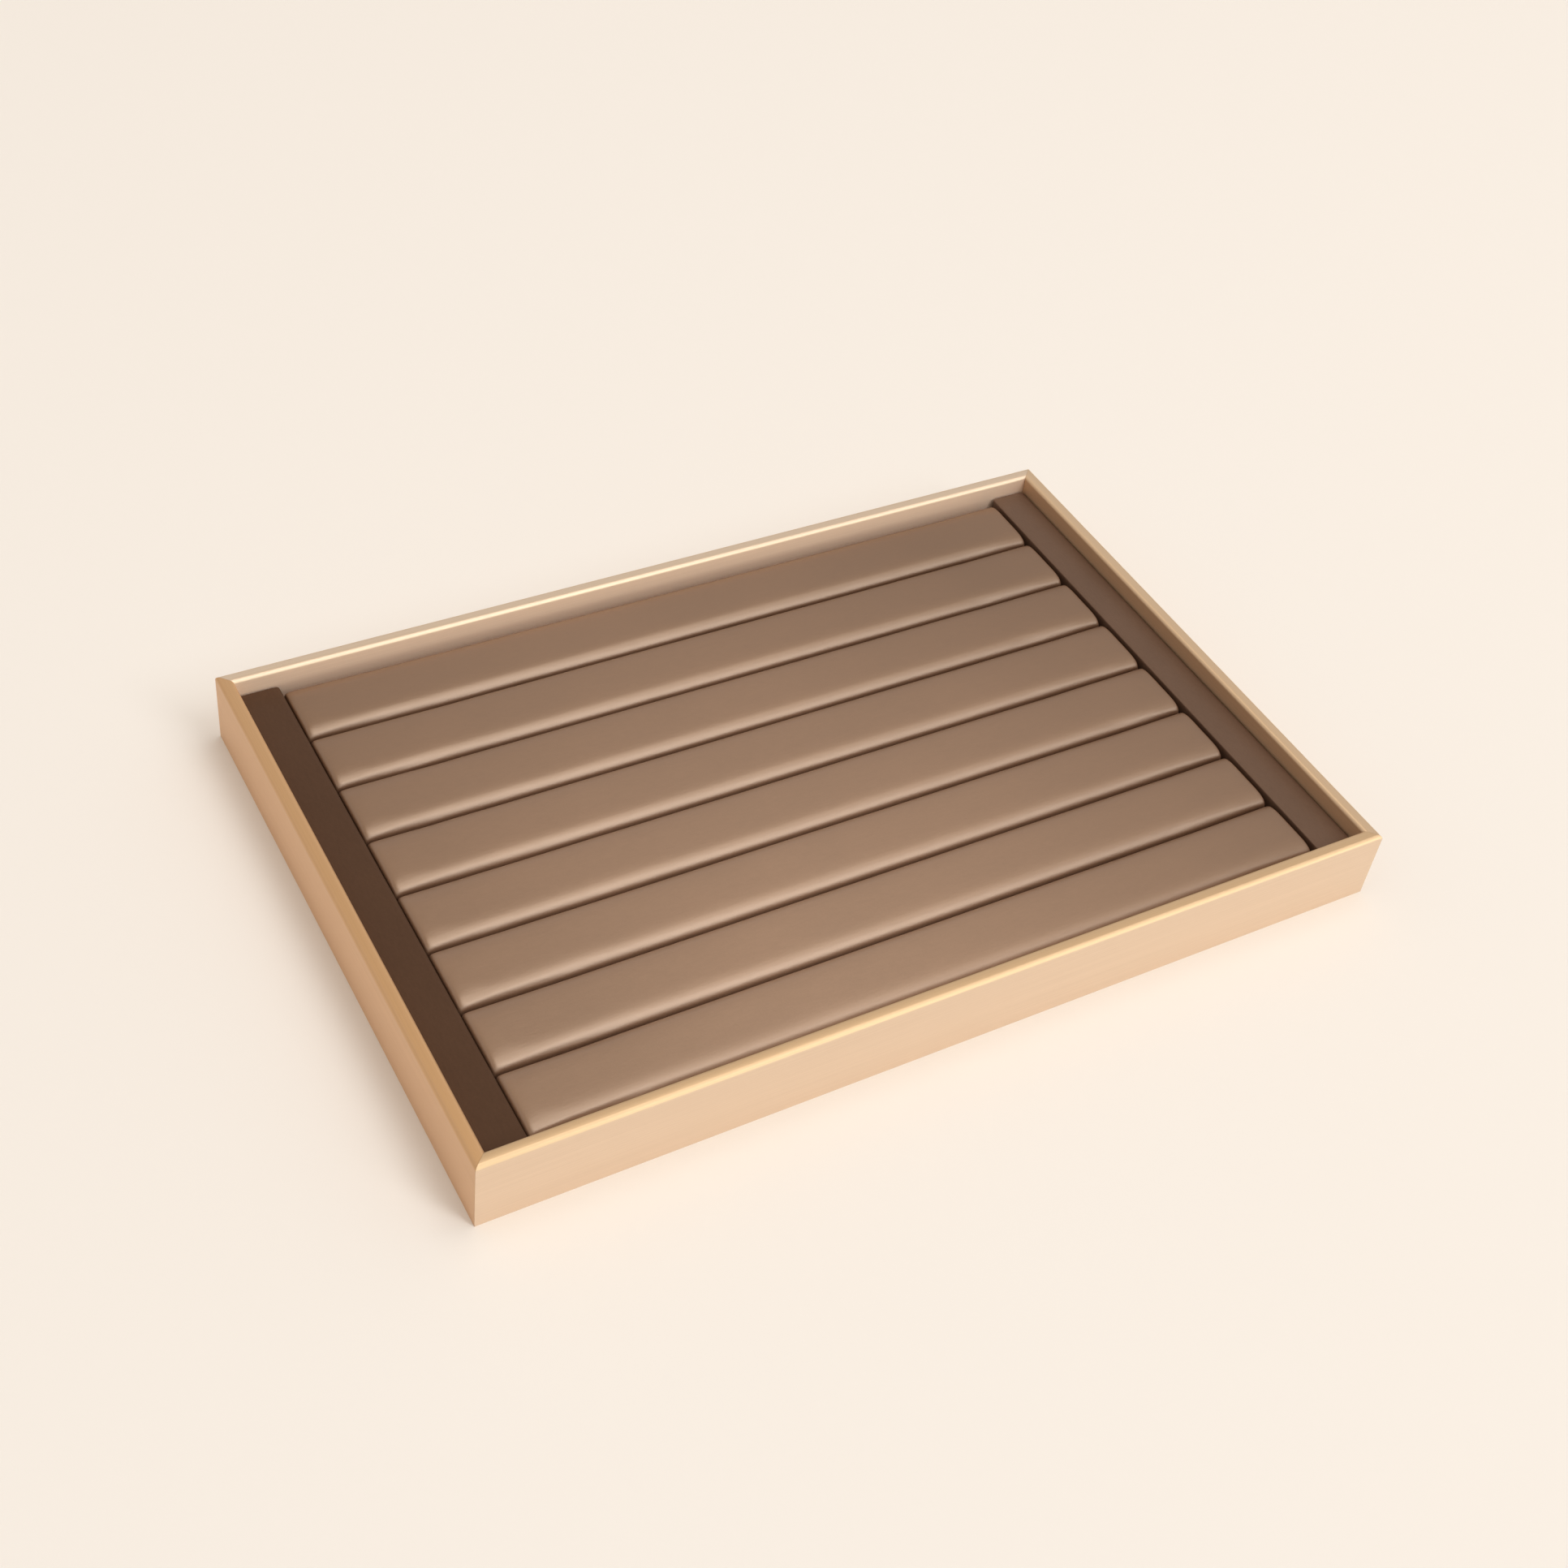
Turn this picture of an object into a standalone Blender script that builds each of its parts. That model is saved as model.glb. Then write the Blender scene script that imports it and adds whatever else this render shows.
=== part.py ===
"""Ring display tray: a mitred metal frame and a drop-in insert of padded, wrapped bars.

Metres, +Z up. The origin is the middle of the underside, +X runs along the bars and -Y is the front.
"""

import math

import bmesh
import bpy

# Overall size of the frame
LENGTH = 0.300
WIDTH = 0.200
HEIGHT = 0.025

# Metal rails: a hollow section with a groove for the bottom panel
RAIL_WIDTH = 0.0045
RAIL_WALL = 0.0011
OUTER_EDGE_RADIUS = 0.0014
INNER_EDGE_RADIUS = 0.0012
GROOVE_DEPTH = 0.0025
MITRE_GAP = 0.0003

# Corner keys, pushed into the hollow of two rails
KEY_LEG = 0.018

# Bottom: a panel in the groove, and felt under it that stays just clear of the table
PANEL_THICKNESS = 0.0025
FELT_THICKNESS = 0.0009
FELT_RECESS = 0.0003
FELT_CORNER_RADIUS = 0.0020

# Insert board
BOARD_THICKNESS = 0.0020
BOARD_CORNER_RADIUS = 0.0020
INSERT_CLEARANCE = 0.0005

# Padded bars: their crown lies this far below the rim
BAR_DROP = 0.0048
BAR_COUNT = 8
SLOT_GAP = 0.0005
BAR_MARGIN = 0.0031
BAR_SHOULDER = 0.0055
BAR_SHOULDER_POWER = 4.7
BAR_END_ROUND = 0.0042
BAR_CORNER_RADIUS = 0.0010
BAR_DRAW_IN = 0.0004

# End strips across the ends of the bars, a little lower than the bars; the bars are pushed up to the left one
STRIP_DROP = 0.0058
STRIP_WIDTH = 0.0128
LEFT_STRIP_GAP = 0.0004
RIGHT_STRIP_GAP = 0.0016
STRIP_SHOULDER = 0.0008
STRIP_SHOULDER_POWER = 4.0
STRIP_END_ROUND = 0.0008
STRIP_CORNER_RADIUS = 0.0008
STRIP_DRAW_IN = 0.0002

# Cloth covers, turned under at the bottom and open between their hems
COVER_THICKNESS = 0.0010
HEM_WIDTH = 0.0035

# Clearance between pieces that touch
FIT = 0.0003

# Facets of the round stretches
EDGE_STEPS = 5
CORNER_STEPS = 4
COVER_CROSS_STEPS = 16
COVER_END_STEPS = 4
INNER_CROSS_STEPS = 6
INNER_END_STEPS = 2

# Faces that meet at less than this angle, in degrees, are shaded as one
SMOOTH_ANGLE = 35

# Levels, from the table upwards
FELT_TOP = FELT_RECESS + FELT_THICKNESS
GROOVE_LOW = FELT_TOP
PANEL_LOW = GROOVE_LOW + FIT
PANEL_TOP = PANEL_LOW + PANEL_THICKNESS
GROOVE_TOP = PANEL_TOP + FIT
BOARD_LOW = PANEL_TOP + FIT
BOARD_TOP = BOARD_LOW + BOARD_THICKNESS
PAD_LOW = BOARD_TOP + FIT
BAR_TOP = HEIGHT - BAR_DROP
STRIP_TOP = HEIGHT - STRIP_DROP
CHAMBER_LOW = GROOVE_TOP + RAIL_WALL
CHAMBER_TOP = HEIGHT - RAIL_WALL

# Clear space between the rails, and the insert that drops into it
WELL_LENGTH = LENGTH - 2 * RAIL_WIDTH
WELL_WIDTH = WIDTH - 2 * RAIL_WIDTH
INSERT_LENGTH = WELL_LENGTH - 2 * INSERT_CLEARANCE
INSERT_WIDTH = WELL_WIDTH - 2 * INSERT_CLEARANCE
BAR_LENGTH = INSERT_LENGTH - 2 * STRIP_WIDTH - LEFT_STRIP_GAP - RIGHT_STRIP_GAP
BAR_MIDDLE = (LEFT_STRIP_GAP - RIGHT_STRIP_GAP) / 2
BAR_WIDTH = (WELL_WIDTH - 2 * BAR_MARGIN - (BAR_COUNT - 1) * SLOT_GAP) / BAR_COUNT
BAR_PITCH = BAR_WIDTH + SLOT_GAP


def clear_scene():
    for old in list(bpy.data.objects):
        bpy.data.objects.remove(old, do_unlink=True)


def finish_material(name, colour, roughness, metallic=0.0):
    """A plain finish: colour, roughness and metallic value."""
    material = bpy.data.materials.new(name)
    material.use_nodes = True
    shader = material.node_tree.nodes["Principled BSDF"]
    shader.inputs["Base Color"].default_value = (*colour, 1.0)
    shader.inputs["Roughness"].default_value = roughness
    shader.inputs["Metallic"].default_value = metallic
    return material


def body_empty(name):
    """An empty on the vertical line that the insert is lifted along, to carry a body's pieces."""
    empty = bpy.data.objects.new(name, None)
    bpy.context.scene.collection.objects.link(empty)
    return empty


def add_object(name, mesh, parent, material=None, place=(0.0, 0.0, 0.0), turn=0.0):
    piece = bpy.data.objects.new(name, mesh)
    piece.location = place
    piece.rotation_euler = (0.0, 0.0, turn)
    piece.parent = parent
    if material and not mesh.materials:
        mesh.materials.append(material)
    bpy.context.scene.collection.objects.link(piece)
    return piece


def shade_round(mesh):
    """Smooth shading over round stretches, with the real edges kept sharp."""
    mesh.shade_smooth()
    mesh.set_sharp_from_angle(angle=math.radians(SMOOTH_ANGLE))


def mesh_from(builder, name, smooth=False):
    """Turn a finished bmesh into mesh data, with faces pointing out."""
    bmesh.ops.recalc_face_normals(builder, faces=builder.faces)
    mesh = bpy.data.meshes.new(name)
    builder.to_mesh(mesh)
    builder.free()
    if smooth:
        shade_round(mesh)
    return mesh


def cut_mesh(name, mesh, cutters):
    """A mesh with the cutter meshes taken out of it."""
    blank = bpy.data.objects.new(name, mesh)
    bpy.context.scene.collection.objects.link(blank)
    tools = []
    for index, cutter in enumerate(cutters):
        tool = bpy.data.objects.new(f"{name}_cutter_{index}", cutter)
        tool.hide_render = True
        tool.display_type = "WIRE"
        bpy.context.scene.collection.objects.link(tool)
        cut = blank.modifiers.new(f"cut_{index}", "BOOLEAN")
        cut.operation = "DIFFERENCE"
        cut.object = tool
        tools.append(tool)
    evaluated = blank.evaluated_get(bpy.context.evaluated_depsgraph_get())
    result = bpy.data.meshes.new_from_object(evaluated)
    for used in [blank, *tools]:
        bpy.data.objects.remove(used, do_unlink=True)
    shade_round(result)
    return result


def prism(outline, low, high):
    """A closed prism from a plan outline of (x, y) points."""
    builder = bmesh.new()
    bottom = [builder.verts.new((x, y, low)) for x, y in outline]
    top = [builder.verts.new((x, y, high)) for x, y in outline]
    builder.faces.new(bottom)
    builder.faces.new(top)
    for index in range(len(outline)):
        following = (index + 1) % len(outline)
        builder.faces.new((bottom[index], bottom[following], top[following], top[index]))
    return builder


def arc(centre, radius, start, end, steps):
    """Points on an arc, with angles in degrees."""
    points = []
    for step in range(steps + 1):
        angle = math.radians(start + (end - start) * step / steps)
        points.append((centre[0] + radius * math.cos(angle), centre[1] + radius * math.sin(angle)))
    return points


def rectangle(length, width, corner_radius=0.0):
    """The plan outline of a rectangle, with round corners where a radius is given."""
    half_x = length / 2
    half_y = width / 2
    if not corner_radius:
        return [(-half_x, -half_y), (half_x, -half_y), (half_x, half_y), (-half_x, half_y)]
    inner_x = half_x - corner_radius
    inner_y = half_y - corner_radius
    outline = []
    for quarter, (sign_x, sign_y) in enumerate([(1, 1), (-1, 1), (-1, -1), (1, -1)]):
        centre = (sign_x * inner_x, sign_y * inner_y)
        outline += arc(centre, corner_radius, 90 * quarter, 90 * quarter + 90, CORNER_STEPS)
    return outline


def rail_profile():
    """The rail's section as (inward, up) points, clockwise from the outer foot."""
    outer_top = (OUTER_EDGE_RADIUS, HEIGHT - OUTER_EDGE_RADIUS)
    inner_top = (RAIL_WIDTH - INNER_EDGE_RADIUS, HEIGHT - INNER_EDGE_RADIUS)
    groove_back = RAIL_WIDTH - GROOVE_DEPTH
    profile = [(0.0, 0.0)]
    profile += arc(outer_top, OUTER_EDGE_RADIUS, 180, 90, EDGE_STEPS)
    profile += arc(inner_top, INNER_EDGE_RADIUS, 90, 0, EDGE_STEPS)
    profile += [(RAIL_WIDTH, GROOVE_TOP), (groove_back, GROOVE_TOP)]
    profile += [(groove_back, GROOVE_LOW), (RAIL_WIDTH, GROOVE_LOW), (RAIL_WIDTH, 0.0)]
    return profile


def rail_mesh(name, length, span):
    """A rail along X with its outer face at y = -span / 2, mitred at both ends and hollow inside."""
    cut_back = MITRE_GAP / math.sqrt(2)
    builder = bmesh.new()
    ends = []
    for side in (-1, 1):
        loop = []
        for inward, up in rail_profile():
            reach = length / 2 - inward - cut_back
            loop.append(builder.verts.new((side * reach, inward - span / 2, up)))
        builder.faces.new(loop)
        ends.append(loop)
    count = len(ends[0])
    for index in range(count):
        following = (index + 1) % count
        builder.faces.new((ends[0][index], ends[0][following], ends[1][following], ends[1][index]))
    blank = mesh_from(builder, name)

    # The chamber runs out through both mitres
    near = RAIL_WALL - span / 2
    far = RAIL_WIDTH - RAIL_WALL - span / 2
    outline = [(-length, near), (length, near), (length, far), (-length, far)]
    chamber = mesh_from(prism(outline, CHAMBER_LOW, CHAMBER_TOP), name + "_chamber")
    return cut_mesh(name, blank, [chamber])


def add_rails(parent, material):
    long_rail = rail_mesh("long_rail", LENGTH, WIDTH)
    short_rail = rail_mesh("short_rail", WIDTH, LENGTH)
    names = ["front_rail", "right_rail", "back_rail", "left_rail"]
    for quarter, name in enumerate(names):
        mesh = short_rail if quarter % 2 else long_rail
        add_object(name, mesh, parent, material, turn=quarter * math.pi / 2)


def add_corner_keys(parent, material):
    """One L-shaped key at each corner, with its legs in the chambers of the two rails."""
    near = RAIL_WALL + FIT
    far = RAIL_WIDTH - RAIL_WALL - FIT
    elbow = [(near, near), (KEY_LEG, near), (KEY_LEG, far), (far, far), (far, KEY_LEG), (near, KEY_LEG)]
    for side_y, word_y in [(-1, "front"), (1, "back")]:
        for side_x, word_x in [(-1, "left"), (1, "right")]:
            outline = [(side_x * (LENGTH / 2 - x), side_y * (WIDTH / 2 - y)) for x, y in elbow]
            name = f"corner_key_{word_y}_{word_x}"
            builder = prism(outline, CHAMBER_LOW + FIT, CHAMBER_TOP - FIT)
            add_object(name, mesh_from(builder, name), parent, material)


def add_bottom(parent, panel_material, felt_material):
    reach = 2 * (GROOVE_DEPTH - FIT)
    panel = prism(rectangle(WELL_LENGTH + reach, WELL_WIDTH + reach), PANEL_LOW, PANEL_TOP)
    add_object("base_panel", mesh_from(panel, "base_panel"), parent, panel_material)
    outline = rectangle(WELL_LENGTH - 2 * FIT, WELL_WIDTH - 2 * FIT, FELT_CORNER_RADIUS)
    felt = prism(outline, FELT_RECESS, FELT_TOP)
    add_object("base_felt", mesh_from(felt, "base_felt"), parent, felt_material)


def add_board(parent, material):
    board = prism(rectangle(INSERT_LENGTH, INSERT_WIDTH, BOARD_CORNER_RADIUS), BOARD_LOW, BOARD_TOP)
    add_object("insert_board", mesh_from(board, "insert_board"), parent, material)


def round_over(share, power):
    """Height left at this share of the way from the middle to the edge: 1 in the middle, 0 at the edge."""
    return max(0.0, 1.0 - abs(share) ** power) ** (1.0 / power)


def corner_inset(from_end, radius):
    """How far a round plan corner draws the side in, at this distance from the end."""
    if from_end >= radius:
        return 0.0
    return radius - math.sqrt(radius ** 2 - (radius - from_end) ** 2)


def padded_form(length, width, low, high, shape, cross_steps, end_steps):
    """A closed pad along X: crowned top, round shoulders, ends and corners, sides drawn in at the bottom."""
    half_length = length / 2
    stations = []
    for step in range(end_steps + 1):
        from_end = shape["end_round"] * (1.0 - math.cos(math.pi / 2 * step / end_steps))
        height = round_over(1.0 - from_end / shape["end_round"], shape["power"])
        stations.append((half_length - from_end, width / 2 - corner_inset(from_end, shape["corner"]), height))
    stations = [(-x, half, height) for x, half, height in stations] + stations[::-1]

    builder = bmesh.new()
    grid = []
    for x, half, height in stations:
        row = []
        for step in range(cross_steps + 1):
            across = math.sin(math.pi * (step / cross_steps - 0.5))
            drop = shape["shoulder"] * (1.0 - height * round_over(across, shape["power"]))
            row.append(builder.verts.new((x, across * half, high - drop)))
        grid.append(row)
    for row, following in zip(grid, grid[1:]):
        for step in range(cross_steps):
            builder.faces.new((row[step], following[step], following[step + 1], row[step + 1]))

    # Sides run from the rim of the crown down to a slightly smaller bottom
    rim = grid[0][:-1] + [row[-1] for row in grid[:-1]] + grid[-1][:0:-1] + [row[0] for row in grid[:0:-1]]
    scale_x = (half_length - shape["draw_in"]) / half_length
    scale_y = (width / 2 - shape["draw_in"]) / (width / 2)
    foot = [builder.verts.new((corner.co.x * scale_x, corner.co.y * scale_y, low)) for corner in rim]
    builder.faces.new(foot)
    for index in range(len(rim)):
        following = (index + 1) % len(rim)
        builder.faces.new((rim[index], rim[following], foot[following], foot[index]))
    return builder


def wrapped_pad(name, length, width, top, shape):
    """The meshes of a cloth cover and of the core that fills it."""
    outer = padded_form(length, width, PAD_LOW, top, shape, COVER_CROSS_STEPS, COVER_END_STEPS)

    def inner(inset):
        return padded_form(length - 2 * inset, width - 2 * inset, PAD_LOW + inset, top - inset, shape,
                           INNER_CROSS_STEPS, INNER_END_STEPS)

    cavity = mesh_from(inner(COVER_THICKNESS), name + "_cavity")
    hems = 2 * (COVER_THICKNESS + HEM_WIDTH)
    mouth_outline = rectangle(length - hems, width - hems)
    mouth = mesh_from(prism(mouth_outline, 0.0, PAD_LOW + 2 * COVER_THICKNESS), name + "_mouth")
    cover = cut_mesh(name + "_cover", mesh_from(outer, name + "_blank"), [cavity, mouth])
    core = mesh_from(inner(COVER_THICKNESS + FIT), name + "_core", smooth=True)
    return cover, core


def add_bars(parent, cloth, foam):
    shape = {"shoulder": BAR_SHOULDER, "power": BAR_SHOULDER_POWER, "end_round": BAR_END_ROUND,
             "corner": BAR_CORNER_RADIUS, "draw_in": BAR_DRAW_IN}
    cover, core = wrapped_pad("ring_bar", BAR_LENGTH, BAR_WIDTH, BAR_TOP, shape)
    for index in range(BAR_COUNT):
        place = (BAR_MIDDLE, (index - (BAR_COUNT - 1) / 2) * BAR_PITCH, 0.0)
        add_object(f"ring_bar_cover_{index + 1}", cover, parent, cloth, place)
        add_object(f"ring_bar_core_{index + 1}", core, parent, foam, place)


def add_end_strips(parent, cloth, board):
    shape = {"shoulder": STRIP_SHOULDER, "power": STRIP_SHOULDER_POWER, "end_round": STRIP_END_ROUND,
             "corner": STRIP_CORNER_RADIUS, "draw_in": STRIP_DRAW_IN}
    cover, core = wrapped_pad("end_strip", INSERT_WIDTH, STRIP_WIDTH, STRIP_TOP, shape)
    centre = (INSERT_LENGTH - STRIP_WIDTH) / 2
    for side, word in [(-1, "left"), (1, "right")]:
        place = (side * centre, 0.0, 0.0)
        add_object(f"end_strip_cover_{word}", cover, parent, cloth, place, turn=math.pi / 2)
        add_object(f"end_strip_core_{word}", core, parent, board, place, turn=math.pi / 2)


def main():
    clear_scene()
    champagne = finish_material("champagne_metal", (0.72, 0.52, 0.32), 0.34, 1.0)
    zinc = finish_material("key_zinc", (0.62, 0.63, 0.64), 0.45, 1.0)
    fibreboard = finish_material("fibreboard", (0.30, 0.20, 0.12), 0.85)
    felt = finish_material("felt", (0.16, 0.11, 0.08), 0.95)
    board = finish_material("grey_board", (0.36, 0.31, 0.27), 0.90)
    bar_cloth = finish_material("bar_microfibre", (0.27, 0.17, 0.12), 0.80)
    strip_cloth = finish_material("strip_microfibre", (0.13, 0.075, 0.05), 0.85)
    foam = finish_material("foam", (0.75, 0.73, 0.68), 0.95)

    frame = body_empty("frame_body")
    add_rails(frame, champagne)
    add_corner_keys(frame, zinc)
    add_bottom(frame, fibreboard, felt)

    insert = body_empty("insert_body")
    add_board(insert, board)
    add_bars(insert, bar_cloth, foam)
    add_end_strips(insert, strip_cloth, board)


main()
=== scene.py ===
# %% [markdown]
# # Dressing a ring display tray
# The tray is a mitred metal frame with an insert of padded, cloth-wrapped bars. Its solids, sizes and
# joint come from the packed model, which is loaded first and never moved. This file gives every surface
# its finish: satin metal for the rails, napped microfibre for the bars, board, foam and felt for what
# lies inside. All lengths are in metres, in the same frame as the solids.

# %% Load the packed model
import math

import bmesh
import bpy
from mathutils import Matrix, Vector


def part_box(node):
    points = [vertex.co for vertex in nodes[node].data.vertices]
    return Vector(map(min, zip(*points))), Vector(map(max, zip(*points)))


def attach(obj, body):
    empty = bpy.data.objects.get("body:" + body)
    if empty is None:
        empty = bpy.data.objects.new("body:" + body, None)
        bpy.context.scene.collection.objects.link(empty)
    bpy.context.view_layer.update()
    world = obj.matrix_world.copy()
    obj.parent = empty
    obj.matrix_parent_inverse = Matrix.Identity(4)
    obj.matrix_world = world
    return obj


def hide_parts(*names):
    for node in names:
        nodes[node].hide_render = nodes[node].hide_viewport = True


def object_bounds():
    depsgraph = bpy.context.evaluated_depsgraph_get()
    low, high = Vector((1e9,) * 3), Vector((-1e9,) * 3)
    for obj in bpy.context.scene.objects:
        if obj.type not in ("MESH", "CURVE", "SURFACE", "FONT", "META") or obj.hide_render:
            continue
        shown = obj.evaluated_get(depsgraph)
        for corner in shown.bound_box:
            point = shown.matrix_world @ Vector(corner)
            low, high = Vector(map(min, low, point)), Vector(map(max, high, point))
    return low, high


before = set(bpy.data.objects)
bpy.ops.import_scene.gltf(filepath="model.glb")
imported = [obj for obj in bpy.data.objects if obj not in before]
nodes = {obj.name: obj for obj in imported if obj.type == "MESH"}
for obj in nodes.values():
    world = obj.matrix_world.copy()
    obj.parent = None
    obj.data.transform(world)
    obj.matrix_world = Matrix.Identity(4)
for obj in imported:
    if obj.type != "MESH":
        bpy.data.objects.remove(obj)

cad_low, cad_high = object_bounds()
print("solids:", len(nodes), "nodes, size", [round(side, 4) for side in cad_high - cad_low])

# %% [markdown]
# ## The camera
# The photograph looks down on the tray from its front left corner, with the camera rolled a little. The
# angles, the distance and the focal length below were fitted to the tray's edges, so the render has the
# same outline. A camera looks along its own -Z axis, so its matrix holds three columns: right, up and
# back.

# %% Place the camera
PHOTO_PIXELS = 1932
SENSOR_WIDTH = 36.0
FOCAL_PIXELS = 2742.0
CAMERA_AZIMUTH = math.radians(-34.68)
CAMERA_ELEVATION = math.radians(44.06)
CAMERA_ROLL = math.radians(8.47)
CAMERA_DISTANCE = 0.7066
CAMERA_AIM = Vector((0.0040, 0.0127, 0.0))


def toward(azimuth, elevation):
    """The direction from the tray at these angles; azimuth 0 is straight in front."""
    across = math.cos(elevation)
    return Vector((math.sin(azimuth) * across, -math.cos(azimuth) * across, math.sin(elevation)))


def camera_axes(azimuth, elevation, roll):
    """The camera's right, up and back directions."""
    back = toward(azimuth, elevation)
    level = Vector((math.cos(azimuth), math.sin(azimuth), 0.0))
    upright = back.cross(level)
    right = math.cos(roll) * level + math.sin(roll) * upright
    return right, back.cross(right), back


right, up, back = camera_axes(CAMERA_AZIMUTH, CAMERA_ELEVATION, CAMERA_ROLL)
camera_data = bpy.data.cameras.new("camera")
camera_data.sensor_width = SENSOR_WIDTH
camera_data.lens = FOCAL_PIXELS / PHOTO_PIXELS * SENSOR_WIDTH
camera = bpy.data.objects.new("camera", camera_data)
camera.matrix_world = Matrix.LocRotScale(CAMERA_AIM + CAMERA_DISTANCE * back,
                                         Matrix((right, up, back)).transposed(), None)
bpy.context.scene.collection.objects.link(camera)
bpy.context.scene.camera = camera
bpy.context.scene.view_settings.view_transform = "Standard"
print("camera at", [round(part, 3) for part in camera.location], "lens", round(camera_data.lens, 1))

# %% [markdown]
# ## Short ways to write nodes
# A node tree is a list of nodes and wires. This small class adds a node, sets its options and feeds its
# inputs in one call, whether an input is a plain value or comes from another node. It serves shader
# trees and geometry trees alike.

# %% Helper for node trees


class Wiring:
    """Adds nodes to a tree and wires them."""

    def __init__(self, tree):
        self.tree = tree

    def feed(self, socket, value):
        if isinstance(value, bpy.types.NodeSocket):
            self.tree.links.new(value, socket)
        else:
            socket.default_value = value

    def add(self, kind, inputs=None, **options):
        made = self.tree.nodes.new(kind)
        for name, value in options.items():
            setattr(made, name, value)
        for key, value in (inputs or {}).items():
            self.feed(made.inputs[key], value)
        return made

    def math(self, operation, first, second=0.0):
        return self.add("ShaderNodeMath", {0: first, 1: second}, operation=operation).outputs[0]

    def weigh(self, first, first_weight, second, second_weight):
        """The sum of two values, each times its weight."""
        return self.math("ADD", self.math("MULTIPLY", first, first_weight),
                         self.math("MULTIPLY", second, second_weight))

    def noise(self, vector, scale, detail=2.0):
        inputs = {"Vector": vector, "Scale": scale, "Detail": detail}
        return self.add("ShaderNodeTexNoise", inputs).outputs[0]

    def stretch(self, vector, scale):
        return self.add("ShaderNodeVectorMath", {0: vector, 1: scale}, operation="MULTIPLY").outputs[0]

    def between(self, value, low, high, to_low=0.0, to_high=1.0):
        """Carries a value from one range over to another."""
        inputs = {"Value": value, 1: low, 2: high, 3: to_low, 4: to_high}
        return self.add("ShaderNodeMapRange", inputs).outputs[0]

    def blend(self, share, first, second, how="MIX"):
        """Mixes two colours; a Mix node keeps them in inputs 6 and 7, and the result in output 2."""
        made = self.add("ShaderNodeMix", data_type="RGBA", blend_type=how)
        for index, value in {0: share, 6: first, 7: second}.items():
            self.feed(made.inputs[index], value)
        return made.outputs[2]


def solid(red, green, blue):
    return (red, green, blue, 1.0)


print("node helper:", [way for way in vars(Wiring) if not way.startswith("_")])

# %% [markdown]
# ## Lamps
# One soft light comes from the front right, about halfway up: it lights the front shoulder of every bar
# and lets a short soft shadow fall to the left. Two more lamps on that side add shine alone. One stands
# in the key light's place and strengthens the gleam on cloth and metal, and a low one draws the bright
# line along the front edge. A weaker light hangs overhead.

# %% Lamps
FRONT_AZIMUTH = math.radians(27)
FRONT_DISTANCE = 5.0
KEY_ELEVATION = math.radians(50)
KEY_SIZE = (1.2, 4.0)
KEY_POWER = 76.0
KEY_TONE = (1.0, 1.0, 1.0)
GLOSS_POWER = 50.0
GLOSS_TONE = (0.95, 1.0, 1.12)
EDGE_ELEVATION = math.radians(6)
EDGE_SIZE = (4.0, 1.2)
EDGE_POWER = 90.0
EDGE_TONE = (0.96, 1.04, 0.88)
TOP_PLACE = Vector((1.0, 0.3, 5.0))
TOP_SIZE = (3.0, 3.0)
TOP_POWER = 52.0
TOP_TONE = (1.0, 0.97, 0.93)


def add_lamp(name, place, size, power, tone, shine_only=False):
    """A soft box at place that faces the tray; size is its width and height."""
    data = bpy.data.lights.new(name, "AREA")
    data.shape = "RECTANGLE"
    data.size, data.size_y = size
    data.energy = power
    data.color = tone
    lamp = bpy.data.objects.new(name, data)
    lamp.location = place
    lamp.rotation_euler = place.to_track_quat("Z", "Y").to_euler()
    lamp.visible_diffuse = not shine_only
    bpy.context.scene.collection.objects.link(lamp)
    return lamp


key_place = toward(FRONT_AZIMUTH, KEY_ELEVATION) * FRONT_DISTANCE
edge_place = toward(FRONT_AZIMUTH, EDGE_ELEVATION) * FRONT_DISTANCE
lamps = [
    add_lamp("key_light", key_place, KEY_SIZE, KEY_POWER, KEY_TONE),
    add_lamp("gloss_light", key_place, KEY_SIZE, GLOSS_POWER, GLOSS_TONE, shine_only=True),
    add_lamp("edge_light", edge_place, EDGE_SIZE, EDGE_POWER, EDGE_TONE, shine_only=True),
    add_lamp("top_light", TOP_PLACE, TOP_SIZE, TOP_POWER, TOP_TONE),
]
print("lamps:", [lamp.name for lamp in lamps])

# %% [markdown]
# ## Floor
# The tray stands on a cream sheet. Far from the tray the sheet fades into the backdrop, as a studio
# sweep does, so that a low view shows no hard horizon.

# %% Floor
FLOOR_TONE = solid(0.94, 0.905, 0.86)
FLOOR_ROUGHNESS = 0.9
FLOOR_REACH = 12.0
FLOOR_FADE_START = 1.8
FLOOR_FADE_END = 4.0

floor_mesh = bpy.data.meshes.new("floor")
corners = [(-FLOOR_REACH, -FLOOR_REACH, 0), (FLOOR_REACH, -FLOOR_REACH, 0),
           (FLOOR_REACH, FLOOR_REACH, 0), (-FLOOR_REACH, FLOOR_REACH, 0)]
floor_mesh.from_pydata(corners, [], [(0, 1, 2, 3)])
floor = bpy.data.objects.new("floor", floor_mesh)
bpy.context.scene.collection.objects.link(floor)
floor_finish = bpy.data.materials.new("floor_sheet")
floor_finish.use_nodes = True
sheet = floor_finish.node_tree.nodes["Principled BSDF"]
sheet.inputs["Base Color"].default_value = FLOOR_TONE
sheet.inputs["Roughness"].default_value = FLOOR_ROUGHNESS
sheet.inputs["Specular IOR Level"].default_value = 0.0
sweep = Wiring(floor_finish.node_tree)
floor_point = sweep.add("ShaderNodeTexCoord").outputs["Object"]
from_tray = sweep.add("ShaderNodeVectorMath", {0: floor_point}, operation="LENGTH").outputs["Value"]
fade = sweep.between(from_tray, FLOOR_FADE_START, FLOOR_FADE_END)
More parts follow.
